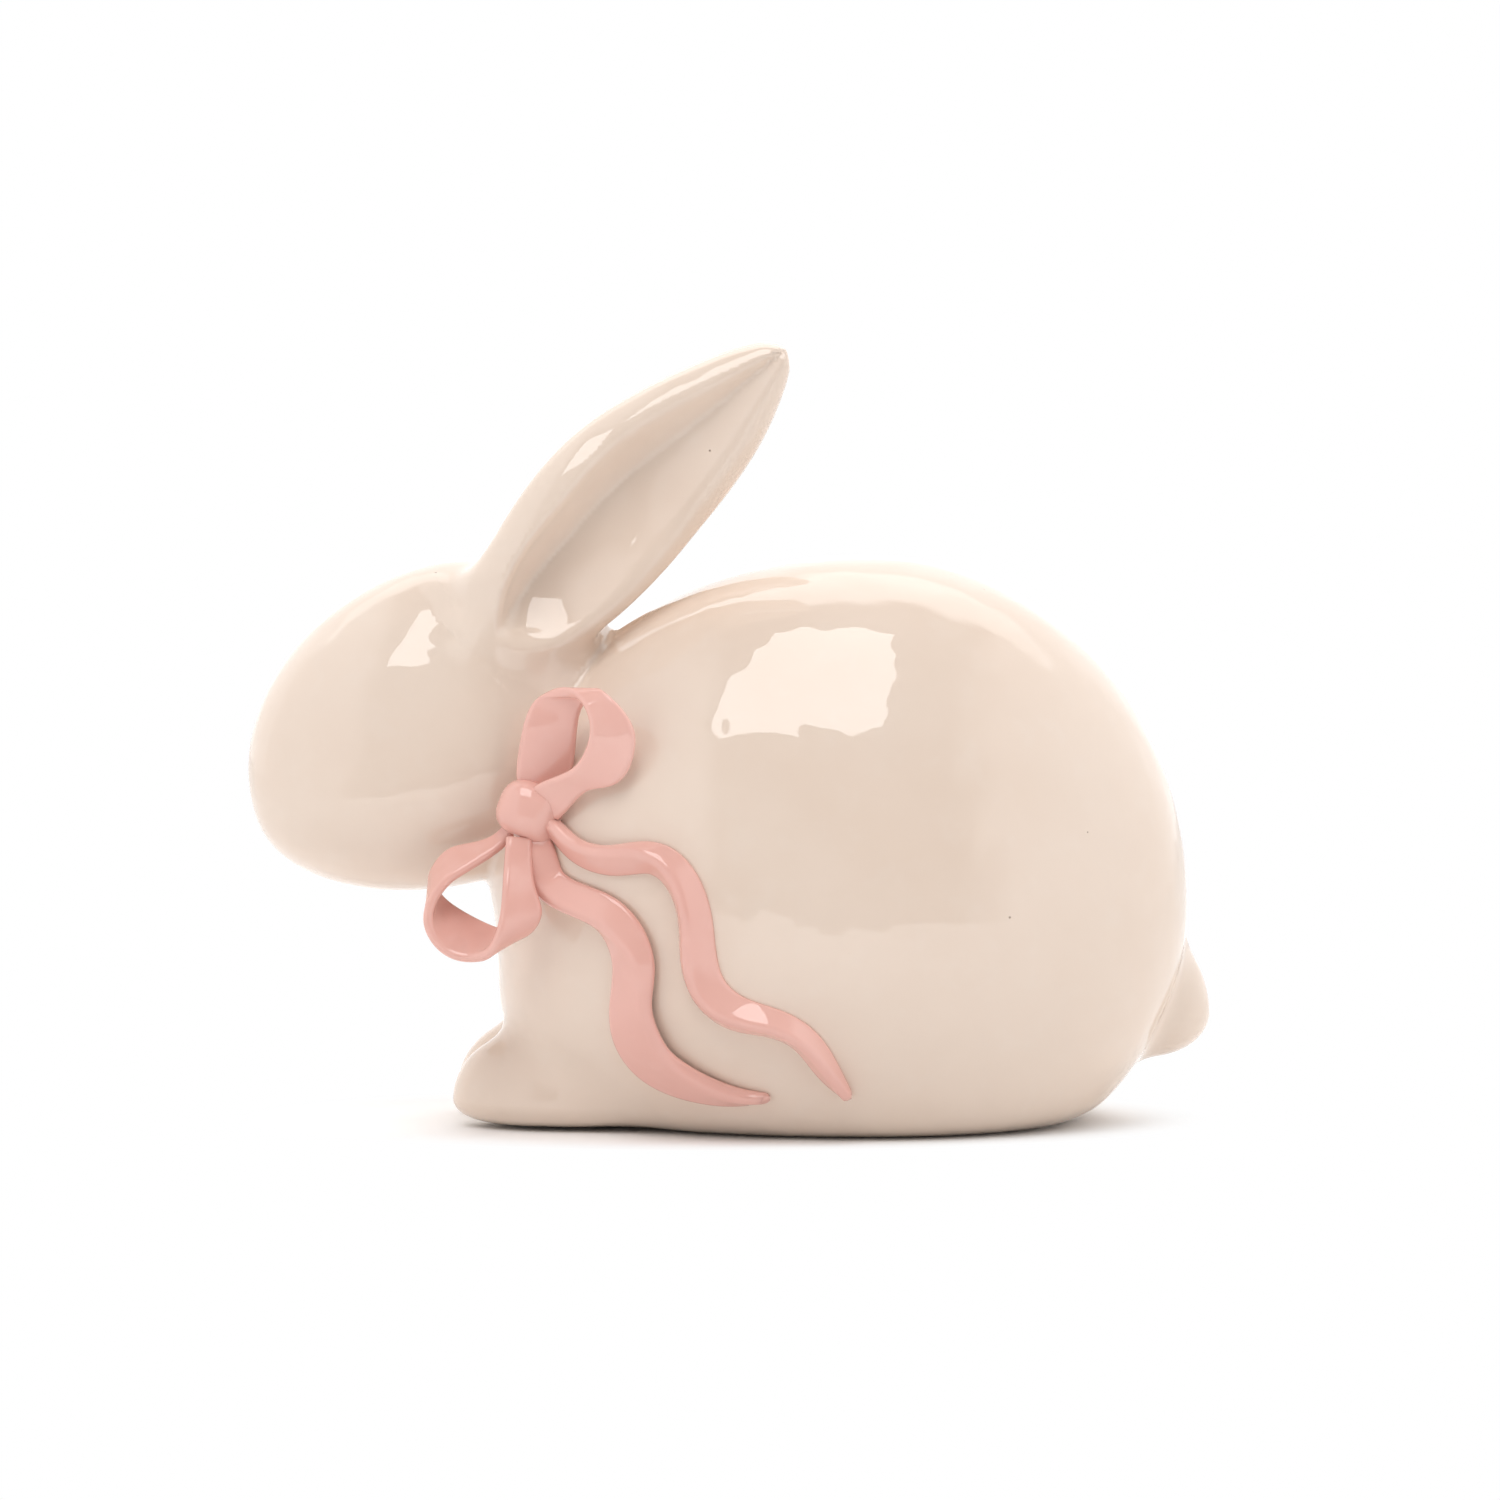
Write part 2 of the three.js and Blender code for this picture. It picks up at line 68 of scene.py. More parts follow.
def make_camera():
    data = bpy.data.cameras.new("camera")
    data.lens = CAMERA_LENS
    data.sensor_width = CAMERA_SENSOR
    data.clip_start, data.clip_end = CAMERA_NEAR, CAMERA_FAR
    camera = bpy.data.objects.new("camera", data)
    bpy.context.scene.collection.objects.link(camera)
    back = Vector((0.0, -math.cos(CAMERA_ELEVATION), math.sin(CAMERA_ELEVATION)))
    camera.location = (CAMERA_TARGET + back * CAMERA_DISTANCE) * MM
    camera.rotation_euler = (-back).to_track_quat("-Z", "Y").to_euler()
    bpy.context.scene.camera = camera


make_camera()

# sizes of the rabbit's forms: those of the solids, but for the head's spread and the ears' hollow,
# which follow the photograph's reflections more closely here

BODY_CENTRE = np.array([30.0, 0.0, 48.0])
BODY_FRONT, BODY_REAR = 88.0, 72.6
BODY_HALF_WIDTH = 57.0
BODY_TOP, BODY_LOW = 78.5, 65.0
BODY_SIDE_POWER, BODY_TOP_POWER = 2.5, 2.1
CHEST_TUCK, TUCK_START, TUCK_SPAN = 0.065, 20.0, 50.0

HEAD_CENTRE = np.array([-56.9, 0.0, 84.0])
HEAD_TILT = math.radians(17.6)
HEAD_SNOUT, HEAD_BACK = 51.6, 40.0
HEAD_HALF_WIDTH = 29.5
HEAD_CROWN, HEAD_JAW = 42.0, 29.5
HEAD_SIDE_POWER = 2.8
# narrower towards the crown, and wider towards the snout
HEAD_NARROWING, HEAD_SPREAD, HEAD_TAPER_LIMIT = 0.1, 0.15, 1.2

TAIL_CENTRE = np.array([94.0, 0.0, 24.0])
TAIL_ROOT, TAIL_REACH = 20.0, 14.0
TAIL_HALF_WIDTH = 12.0
TAIL_RISE, TAIL_DROP = 19.5, 10.0
TAIL_RISE_POWER = 1.8

PAW_CENTRE = np.array([-42.0, -16.0, 6.0])
PAW_TURN = math.radians(15)
PAW_TOE, PAW_HEEL = 20.0, 30.0
PAW_HALF_WIDTH = 12.5
PAW_RISE, PAW_DROP = 16.0, 9.0

# along the ear from its root, across it, and out of its hollow
EAR_ROOT = np.array([-41.0, -24.0, 118.0])
EAR_LEAN, EAR_ROLL = math.radians(45), math.radians(12)
EAR_HALF_WIDTH = 18.05
EAR_WIDEST, EAR_TO_TIP, EAR_TO_FOOT = 24.0, 54.0, 44.0
EAR_TAPER_POWER, EAR_TAPER_SHARPNESS = 1.7, 0.69
EAR_FOOT_POWER, EAR_FOOT_SHARPNESS, EAR_THINNEST_TAPER = 2.0, 0.5, 0.01
EAR_TIP_END, EAR_TIP_RADIUS = 77.0, 4.0
EAR_MIDDLE, EAR_BELLY, EAR_BELLY_SPAN = 0.5, 1.6, 38.0
EAR_FOOT_END, EAR_FOOT_RADIUS = -19.0, 4.0
EAR_HALF_THICKNESS, EAR_SET_BACK = 8.5, 0.82
EAR_LIFT, EAR_LIFT_MIDDLE, EAR_LIFT_SPAN = 4.0, 8.0, 30.0
EAR_SLANT_LIMIT, EAR_FLATTEST = 1.2, 0.001
# the hollow: a valley line off the middle, a steep bowl at the root and a long ramp to the tip
HOLLOW_DEPTH, HOLLOW_POWER, VALLEY = 11.0, 1.55, 0.13
HOLLOW_MIDDLE, HOLLOW_TO_ROOT, HOLLOW_TO_TIP = 8.0, 19.0, 67.0
BOWL_POWER, RAMP_POWER = 2.6, 1.45
HOLLOW_FRONT, HOLLOW_REAR = 0.62, 0.87
HOLLOW_FRONT_TIP, HOLLOW_REAR_TIP = 0.86, 0.90
HOLLOW_OPENING, OPENING_SPAN = 16.0, 34.0
HOLLOW_SLANT = 0.7

VENT_X, VENT_RADIUS, VENT_DEPTH = 26.0, 5.0, 14.0

# fillets between the forms, where slip and glaze have filled the corners
NECK_FILLET = 1.6
EAR_FILLET, CROWN_FILLET = 8.0, 16.0
CROWN_START, CROWN_SPAN = 115.0, 9.0
HOLLOW_FILLET = 2.8
PAW_FILLET = 6.0
TAIL_FILLET = 4.0
FOOT_FILLET = 6.0
VENT_FILLET = 1.0

# the skin's grid: its step, the steps of the rough search, and how near counts as at the surface
GRID, COARSE, NEAR_SURFACE = 1.0, 5, 1.6
GRID_LOW = np.array([-114.5, -63.5, -5.5])
GRID_HIGH = np.array([114.5, 63.5, 179.5])
POINTS_AT_ONCE = 200000
SNAP_TIMES, BORDER_TIMES, BORDER_STEP = 3, 3, 0.4
SLOPE_STEP, LEAST_SLOPE = 0.05, 0.05


def eased(value, start, span):
    """From 0 at start to 1 a span further on, with soft ends."""
    share = np.clip((value - start) / span, 0, 1)
    return share * share * (3 - 2 * share)


def swelling(value, middle, span):
    """1 at the middle, and down to 0 a span to either side."""
    return np.maximum(0, 1 - ((value - middle) / span) ** 2) ** 2


def joined(a, b, fillet):
    """Two forms as one, with a fillet in the corner between them."""
    near = np.maximum(fillet - np.abs(a - b), 0.0) / fillet
    return np.minimum(a, b) - near * near * fillet * 0.25


def common(a, b, fillet):
    """What two forms share, with a rounded edge."""
    return -joined(-a, -b, fillet)


def turned(q, angle, i, j):
    """The points q with their axes i and j turned by an angle."""
    out = q.copy()
    out[:, i] = q[:, i] * math.cos(angle) + q[:, j] * math.sin(angle)
    out[:, j] = q[:, j] * math.cos(angle) - q[:, i] * math.sin(angle)
    return out


def egg(q, front, rear, half_width, top, low, powers=(2.0, 2.0, 2.0), low_power=2.0):
    """About the distance to an egg of quarter ellipsoids, negative inside."""
    half = np.stack([np.where(q[:, 0] < 0, front, rear), np.full(len(q), half_width),
                     np.where(q[:, 2] < 0, low, top)])
    power = np.stack([np.full(len(q), powers[0]), np.full(len(q), powers[1]),
                      np.where(q[:, 2] < 0, low_power, powers[2])])
    size = np.abs(q.T) / half
    value = (size ** power).sum(0)
    slope = np.sqrt(((power * size ** (power - 1) / half) ** 2).sum(0)) + TINY
    root = np.sqrt(np.maximum(value, TINY))
    return (root - 1) * 2 * root / slope


def body_form(p):
    q = p - BODY_CENTRE
    down = np.clip((TUCK_START - q[:, 2]) / TUCK_SPAN, 0, 1)
    q[:, 0] *= np.where(q[:, 0] < 0, 1 + CHEST_TUCK * (4 * down * (1 - down)) ** 2, 1)
    return egg(q, BODY_FRONT, BODY_REAR, BODY_HALF_WIDTH, BODY_TOP, BODY_LOW,
               (2.0, BODY_SIDE_POWER, BODY_TOP_POWER))


def head_form(p):
    q = turned(p - HEAD_CENTRE, HEAD_TILT, 0, 2)
    for share, i, reach in ((HEAD_NARROWING, 2, HEAD_CROWN), (HEAD_SPREAD, 0, HEAD_SNOUT)):
        q[:, 1] /= 1 - share * np.clip(q[:, i] / reach, -HEAD_TAPER_LIMIT, HEAD_TAPER_LIMIT)
    return egg(q, HEAD_SNOUT, HEAD_BACK, HEAD_HALF_WIDTH, HEAD_CROWN, HEAD_JAW,
               (2.0, HEAD_SIDE_POWER, 2.0))


def tail_form(p):
    return egg(p - TAIL_CENTRE, TAIL_ROOT, TAIL_REACH, TAIL_HALF_WIDTH, TAIL_RISE, TAIL_DROP,
               (2.0, 2.0, TAIL_RISE_POWER))


def sided(p, side):
    """The points seen from the bow's side, where side is -1, or mirrored onto it."""
    return p * np.array([1.0, -side, 1.0])


def paw_form(p, side):
    q = turned(sided(p, side) - PAW_CENTRE, -PAW_TURN, 0, 1)
    return egg(q, PAW_TOE, PAW_HEEL, PAW_HALF_WIDTH, PAW_RISE, PAW_DROP)


TO_VIEWER = np.array([0.0, -1.0, 0.0])
EAR_ALONG = np.array([math.cos(EAR_LEAN), 0.0, math.sin(EAR_LEAN)])
EAR_SIDE = np.array([-math.sin(EAR_LEAN), 0.0, math.cos(EAR_LEAN)])
EAR_ACROSS = EAR_SIDE * math.cos(EAR_ROLL) + TO_VIEWER * math.sin(EAR_ROLL)
EAR_OUTWARD = TO_VIEWER * math.cos(EAR_ROLL) - EAR_SIDE * math.sin(EAR_ROLL)


def ear_place(p, side):
    """How far the points lie along the ear, across it and out of its hollow."""
    q = sided(p, side) - EAR_ROOT
    along = q @ EAR_ALONG
    lift = EAR_LIFT * swelling(along, EAR_LIFT_MIDDLE, EAR_LIFT_SPAN)
    return along, q @ EAR_ACROSS, q @ EAR_OUTWARD - lift


def ear_leaf(along, across):
    """The half width, where across lies in it from -1 to 1, and the change of width along."""
    tip = along > EAR_WIDEST
    length = np.where(tip, EAR_TO_TIP, EAR_TO_FOOT)
    power = np.where(tip, EAR_TAPER_POWER, EAR_FOOT_POWER)
    sharp = np.where(tip, EAR_TAPER_SHARPNESS, EAR_FOOT_SHARPNESS)
    gone = np.abs(along - EAR_WIDEST) / length
    left = np.maximum(1 - gone ** power, EAR_THINNEST_TAPER)
    width = EAR_HALF_WIDTH * left ** sharp
    change = width * sharp * power * gone ** (power - 1) / left / length
    middle = EAR_MIDDLE + EAR_BELLY * swelling(along, EAR_WIDEST, EAR_BELLY_SPAN)
    return width, (across - middle) / width, change


def ear_form(p, side):
    along, across, outward = ear_place(p, side)
    width, v, change = ear_leaf(along, across)
    thick = EAR_HALF_THICKNESS * np.sqrt(width / EAR_HALF_WIDTH)
    h = outward / thick + EAR_SET_BACK
    size = np.sqrt(v * v + h * h) + TINY
    slant = 1 + np.minimum(np.abs(v) * change, EAR_SLANT_LIMIT) ** 2
    slope = np.sqrt((v / width) ** 2 * slant + (h / thick) ** 2) / size
    d = common((size - 1) / (slope + EAR_FLATTEST), along - EAR_TIP_END, EAR_TIP_RADIUS)
    return common(d, EAR_FOOT_END - along, EAR_FOOT_RADIUS)


def hollow_form(p, side):
    """The ear's material as it lies under its hollow."""
    along, across, outward = ear_place(p, side)
    v = ear_leaf(along, across)[1]
    open_end = eased(along, HOLLOW_OPENING, OPENING_SPAN)
    front = HOLLOW_FRONT + (HOLLOW_FRONT_TIP - HOLLOW_FRONT) * open_end
    rear = HOLLOW_REAR + (HOLLOW_REAR_TIP - HOLLOW_REAR) * open_end
    w = (v - VALLEY) / np.where(v > VALLEY, front - VALLEY, -rear - VALLEY)
    low = along < HOLLOW_MIDDLE
    x = (along - HOLLOW_MIDDLE) / np.where(low, -HOLLOW_TO_ROOT, HOLLOW_TO_TIP)
    rise = x ** np.where(low, BOWL_POWER, RAMP_POWER)
    return (outward - HOLLOW_DEPTH * (w ** HOLLOW_POWER + rise - 1)) * HOLLOW_SLANT


def ceramic(p):
    """The whole rabbit with its fillets: about the distance to its glaze."""
    d = head_form(p)
    crown = eased(p[:, 2], CROWN_START, CROWN_SPAN)
    ear_fillet = EAR_FILLET + (CROWN_FILLET - EAR_FILLET) * crown
    for side in (-1, 1):
        d = joined(d, ear_form(p, side), ear_fillet)
    for side in (-1, 1):
        d = common(d, hollow_form(p, side), HOLLOW_FILLET)
    d = joined(body_form(p), d, NECK_FILLET)
    for side in (-1, 1):
        d = joined(d, paw_form(p, side), PAW_FILLET)
    d = joined(d, tail_form(p), TAIL_FILLET)
    d = common(d, -p[:, 2], FOOT_FILLET)
    vent = np.maximum(np.hypot(p[:, 0] - VENT_X, p[:, 1]) - VENT_RADIUS, p[:, 2] - VENT_DEPTH)
    return common(d, -vent, VENT_FILLET)


PARTS = {
    "body_shell": body_form,
    "head_shell": head_form,
    "ear_left": lambda p: ear_form(p, -1),
    "ear_right": lambda p: ear_form(p, 1),
    "forepaw_left": lambda p: paw_form(p, -1),
    "forepaw_right": lambda p: paw_form(p, 1),
    "tail": tail_form,
}


def gradient(field, p):
    """The field's slope at the points, along each axis."""
    return np.stack([(field(p + step) - field(p - step)) / (2 * SLOPE_STEP)
                     for step in np.eye(3) * SLOPE_STEP], 1)


def snapped(field, p, times=SNAP_TIMES):
    """The points moved onto the field's surface."""
    for _ in range(times):
        g = gradient(field, p)
        p = p - (field(p) / np.maximum((g * g).sum(1), LEAST_SLOPE))[:, None] * g
    return p


def sampled(field, low, high):
    """The field on a fine grid, worked out only near the surface."""
    steps = np.ceil((high - low) / (GRID * COARSE)).astype(int)
    axes = [low[i] + GRID * COARSE * (np.arange(steps[i]) + 0.5) for i in range(3)]
    centres = np.stack(np.meshgrid(*axes, indexing="ij"), -1).reshape(-1, 3)
    rough = field(centres)
    fine = np.repeat(np.repeat(np.repeat(rough.reshape(steps), COARSE, 0), COARSE, 1), COARSE, 2)
    where = np.argwhere(np.abs(fine) < GRID * COARSE * NEAR_SURFACE)
    for part in np.array_split(where, max(1, len(where) // POINTS_AT_ONCE)):
        fine[tuple(part.T)] = field(low + part * GRID)
    return fine


def surface_net(values, low):
    """One vertex for each cell that the surface crosses, and a quad for each crossed edge."""
    inside = values < 0
    n = np.array(values.shape)
    corners = [(i, j, k) for i in (0, 1) for j in (0, 1) for k in (0, 1)]
    cut = [slice(0, -1), slice(1, None)]
    count = sum(inside[cut[i], cut[j], cut[k]].astype(np.int8) for i, j, k in corners)
    crossed = (count > 0) & (count < 8)
    number = -np.ones(crossed.shape, int)
    cells = np.argwhere(crossed)
    number[crossed] = np.arange(len(cells))
    total, weight = np.zeros((len(cells), 3)), np.zeros(len(cells))
    for a in corners:
        for axis in range(3):
            if a[axis]:
                continue
            b = np.array(a)
            b[axis] = 1
            at_a = values[tuple((cells + a).T)]
            at_b = values[tuple((cells + b).T)]
            change = (at_a < 0) != (at_b < 0)
            share = np.where(change, at_a / np.where(change, at_a - at_b, 1), 0)
            total += np.where(change[:, None], np.array(a) + (b - a) * share[:, None], 0)
            weight += change
    points = (cells + total / weight[:, None]) * GRID + low
    quads = []
    for axis in range(3):
        one, two = (axis + 1) % 3, (axis + 2) % 3
        first, second = [slice(None)] * 3, [slice(None)] * 3
        first[axis], second[axis] = slice(0, -1), slice(1, None)
        edges = np.argwhere(inside[tuple(first)] != inside[tuple(second)])
        ok = (edges[:, one] > 0) & (edges[:, two] > 0)
        ok &= (edges[:, one] < n[one] - 1) & (edges[:, two] < n[two] - 1)
        edges = edges[ok]
        u, w = np.eye(3, dtype=int)[[one, two]]
        quad = np.stack([number[tuple((edges - s).T)] for s in (u + w, w, 0, u)], 1)
        flip = ~inside[tuple(edges.T)]
        quad[flip] = quad[flip][:, ::-1]
        quads.append(quad)
    return points, np.concatenate(quads)


def border_snapped(points, quads, owner):
    """Vertices between two parts moved onto the line where the parts' forms meet."""
    names = list(PARTS)
    forms = [PARTS[n] for n in names]
    touch = np.zeros((len(points), len(names)), bool)
    for i in range(4):
        touch[quads[:, i], owner] = True
    for a in range(len(names)):
        for b in range(a + 1, len(names)):
            at = np.flatnonzero(touch[:, a] & touch[:, b] & (touch.sum(1) == 2))
            if not len(at):
                continue
            p = points[at]

            def apart(q):
                return forms[a](q) - forms[b](q)

            for _ in range(BORDER_TIMES):
                g, h = gradient(ceramic, p), gradient(apart, p)
                f, e = ceramic(p), apart(p)
                gg, hh, gh = (g * g).sum(1), (h * h).sum(1), (g * h).sum(1)
                det = np.maximum(gg * hh - gh * gh, LEAST_SLOPE)
                s, t = (f * hh - e * gh) / det, (e * gg - f * gh) / det
                move = -(s[:, None] * g + t[:, None] * h)
                size = np.linalg.norm(move, axis=1, keepdims=True) + TINY
                p = p + move * np.minimum(1, BORDER_STEP * GRID / size)
            points[at] = snapped(ceramic, p, 1)
    return points


def outline_loops(quads):
    """Closed rings of vertices along the open edges of a patch."""
    edges = np.concatenate([quads[:, [i, (i + 1) % 4]] for i in range(4)])
    keys = set(map(tuple, edges.tolist()))
    follow = {}
    for a, b in keys:
        if (b, a) not in keys:
            follow.setdefault(b, []).append(a)
    loops = []
    while follow:
        start = next(iter(follow))
        ring, at = [], start
        while at in follow:
            ring.append(at)
            ways = follow[at]
            step = ways.pop()
            if not ways:
                del follow[at]
            at = step
        loops.append(ring)
    return loops


def unit(ways):
    return ways / (np.linalg.norm(ways, axis=-1, keepdims=True) + TINY)


def glazed_ceramic():
    """For each part its points, its faces with fans that close it, and a normal for each corner."""
    points, quads = surface_net(sampled(ceramic, GRID_LOW, GRID_HIGH), GRID_LOW)
    points = snapped(ceramic, points)
    middles = points[quads].mean(1)
    owner = np.argmin([form(middles) for form in PARTS.values()], 0)
    points = border_snapped(points, quads, owner)
    normals = unit(gradient(ceramic, points))
    made = {}
    for i, name in enumerate(PARTS):
        mine = quads[owner == i]
        used, flat = np.unique(mine, return_inverse=True)
        mine = flat.reshape(mine.shape)
        place = points[used]
        heart = place.mean(0)
        caps = []
        for ring in outline_loops(mine):
            middle = place[ring].mean(0)
            caps += [(a, b, len(place)) for a, b in zip(ring, ring[1:] + ring[:1])]
            place = np.vstack([place, middle + unit(heart - middle)])
        edges = place[np.array(caps)]
        flat = unit(np.cross(edges[:, 1] - edges[:, 0], edges[:, 2] - edges[:, 0]))
        corners = np.vstack([normals[used][mine.ravel()], np.repeat(flat, 3, 0)])
        made[name] = (place, mine.tolist() + caps, corners.tolist())
    return made


def make_mesh(name, points, faces, corner_normals, material):
    """A smooth piece from points in millimetres."""
    mesh = bpy.data.meshes.new(name)
    mesh.from_pydata((points * MM).tolist(), [], faces)
    mesh.polygons.foreach_set("use_smooth", [True] * len(mesh.polygons))
    if corner_normals is not None:
        mesh.normals_split_custom_set(corner_normals)
    mesh.materials.append(material)
    mesh.update()
    piece = bpy.data.objects.new(name + "_glazed", mesh)
    bpy.context.scene.collection.objects.link(piece)
    return piece


class Value:
    """An output in a node tree that can be reckoned with."""

    def __init__(self, paint, socket):
        self.paint, self.socket = paint, socket

    def math(self, operation, one, two):
        return self.paint.node("ShaderNodeMath", {0: one, 1: two}, operation=operation)

    def __add__(self, other):
        return self.math("ADD", self, other)

    def __sub__(self, other):
        return self.math("SUBTRACT", self, other)

    def __rsub__(self, other):
        return self.math("SUBTRACT", other, self)

    def __mul__(self, other):
        return self.math("MULTIPLY", self, other)

    __radd__, __rmul__ = __add__, __mul__

    def larger(self, other):
        return self.math("MAXIMUM", self, other)

    def smooth(self, start, end):
        """From 0 at start to 1 at end."""
        return self.paint.node("ShaderNodeMapRange", {0: self, 1: start, 2: end},
                               interpolation_type="SMOOTHSTEP")


class Paint:
    """One material's or the world's node tree."""

    def __init__(self, owner):
        owner.use_nodes = True
        self.tree = owner.node_tree
        self.tree.nodes.clear()

    def node(self, kind, inputs, out=0, **settings):
        """A node's output, after its settings and the values or links of its sockets."""
        made = self.tree.nodes.new(kind)
        for key, value in settings.items():
            setattr(made, key, value)
        for key, value in inputs.items():
            if isinstance(value, Value):
                self.tree.links.new(value.socket, made.inputs[key])
            else:
                made.inputs[key].default_value = value
        return Value(self, made.outputs[out]) if len(made.outputs) else None

    def noise(self, place, scale, detail=2.0, roughness=0.5):
        return self.node("ShaderNodeTexNoise", {
            "Vector": place, "Scale": scale, "Detail": detail, "Roughness": roughness})

    def mix(self, share, one, two):
        """Colour one with a share of colour two."""
        return self.node("ShaderNodeMix", {0: share, 6: one, 7: two}, out=2, data_type="RGBA")


def rgb(*colour):
    return (*colour, 1.0)


# the glaze: scales are in repeats for each metre, and heights are shares of GLAZE_DEPTH metres
CLOUD_SCALE, CLOUD_FROM, CLOUD_TO = 22.0, 0.32, 0.68
THIN_SCALE, THIN_FROM, THIN_TO, THIN_SHARE = 160.0, 0.5, 0.8, 0.25
GRAIN_SCALE, GRAIN_GLOSS, GRAIN_HEIGHT = 900.0, 0.02, 0.003
PIT_SCALE, PIT_RIM, PIT_CORE, PIT_SHARE, PIT_HEIGHT = 230.0, 0.065, 0.035, 0.65, 0.5
PIT_LOT_SPAN = 0.01
WAVE_SCALE, WAVE_HEIGHT = 48.0, 1.1
RIPPLE_SCALE, RIPPLE_HEIGHT = 120.0, 0.28
GLAZE_DEPTH = 0.0008
GLAZE_IOR = 1.56
SPECK_BROWN = rgb(0.25, 0.14, 0.09)


def glaze(name, pale, deep, thin, roughness, specks):
    """A glossy glaze on clay: soft mottling, pits with dark specks and a slow wave."""
    material = bpy.data.materials.new(name)
    paint = Paint(material)
    place = paint.node("ShaderNodeTexCoord", {}, out=3)

    cloud = paint.noise(place, CLOUD_SCALE, 3.0, 0.55).smooth(CLOUD_FROM, CLOUD_TO)
    worn = paint.noise(place, THIN_SCALE).smooth(THIN_FROM, THIN_TO) * THIN_SHARE
    cell, chance = (paint.node("ShaderNodeTexVoronoi", {"Vector": place, "Scale": PIT_SCALE}, out=i)
                    for i in (0, 1))
    lot = paint.node("ShaderNodeSeparateColor", {0: chance})
    rare = 1 - specks
    pit = (1 - cell).smooth(1 - PIT_RIM, 1 - PIT_CORE) * lot.smooth(rare, rare + PIT_LOT_SPAN)
    colour = paint.mix(worn, paint.mix(cloud, deep, pale), thin)
    colour = paint.mix(pit * PIT_SHARE, colour, SPECK_BROWN)

    grain = paint.noise(place, GRAIN_SCALE)
    wave = paint.noise(place, WAVE_SCALE, 1.0) * WAVE_HEIGHT
    ripple = paint.noise(place, RIPPLE_SCALE, 1.0) * RIPPLE_HEIGHT
    height = wave + ripple + grain * GRAIN_HEIGHT - pit * PIT_HEIGHT
    bump = paint.node("ShaderNodeBump", {
        "Strength": 1.0, "Distance": GLAZE_DEPTH, "Height": height})

    shader = paint.node("ShaderNodeBsdfPrincipled", {
        "Base Color": colour, "Roughness": grain * GRAIN_GLOSS + roughness, "IOR": GLAZE_IOR,
        "Normal": bump})
    paint.node("ShaderNodeOutputMaterial", {"Surface": shader})
    return material


ivory = glaze("ivory_glaze", pale=rgb(0.775, 0.640, 0.540), deep=rgb(0.755, 0.612, 0.508),
              thin=rgb(0.785, 0.67, 0.58), roughness=0.02, specks=0.03)
pink = glaze("pink_glaze", pale=rgb(0.80, 0.460, 0.395), deep=rgb(0.765, 0.42, 0.357),
             thin=rgb(0.83, 0.53, 0.47), roughness=0.035, specks=0.12)


# bow

STRIP_THICKNESS = 2.2
# a loop's thickness at most, as a share of its width
STRIP_FLATNESS = 0.6
# a streamer's width at least, as a share of its thickness
STREAMER_FLATNESS = 1.05

KNOT_CENTRE = np.array([-43.1, -35.9, 71.9])
# the knot's front, rear, half width, top and low, before it is tilted
KNOT_HALF = (7.7, 7.7, 5.8, 6.4, 6.4)
KNOT_TILT = math.radians(22)
KNOT_POWER = 2.8
KNOT_FACET, KNOT_FACET_REACH, KNOT_FACET_FILLET = np.array([0.72, -0.66, -0.22]), 6.5, 2.0
KNOT_SEARCH, KNOT_HALVINGS = 12.0, 40

# points along the two edges of each loop, from the knot round and back to it
UPPER_NEAR = [
    (-45.3, -35, 73), (-46.5, -35.5, 79.7), (-45.9, -36, 86), (-44.5, -36.5, 92.3),
    (-41.4, -36.5, 97.2), (-36.5, -41, 98.4), (-32.4, -45, 96.8), (-30.2, -47, 91.6),
    (-31.2, -46.4, 86), (-33.6, -44.8, 82.4), (-36.8, -43, 80.4), (-41, -40.5, 78.6),
    (-43.8, -38, 76.6)]
UPPER_FAR = [
    (-38, -34, 73), (-34.8, -34.4, 79.6), (-33.6, -36, 85), (-33.1, -38, 90.4),
    (-31.7, -40, 95.4), (-28.1, -44, 98.4), (-24.2, -47, 96.4), (-20.4, -48, 90.2),
    (-21.4, -47, 82.4), (-25.2, -45.4, 78.4), (-30.3, -43, 77.2), (-34.6, -41, 73.2),
    (-37, -39, 70.5)]
LOWER_NEAR = [
    (-46, -36.4, 69.5), (-49.5, -37, 64.4), (-57.5, -40, 59.2), (-61.6, -41, 56.4),
    (-64.4, -42, 52.8), (-65.8, -42.5, 48.1), (-64.2, -43.5, 43.6), (-60.2, -44.5, 40.6),
    (-55.6, -45.5, 40.2), (-52.3, -46.5, 42.4), (-50, -46, 49.1), (-49.3, -43.5, 56.5),
    (-48.7, -39, 66.5)]
LOWER_FAR = [
    (-47.4, -34, 71.5), (-52.3, -33, 65.8), (-59.4, -32, 63.8), (-63, -32, 61.6), (-65, -32, 58),
    (-64.4, -32.5, 54.6), (-61.4, -33, 51.4), (-55.8, -34.5, 48.2), (-50.2, -37, 46),
    (-44.5, -40, 45.8), (-40.8, -43, 50.2), (-42.4, -41, 56.3), (-43, -38.4, 66)]

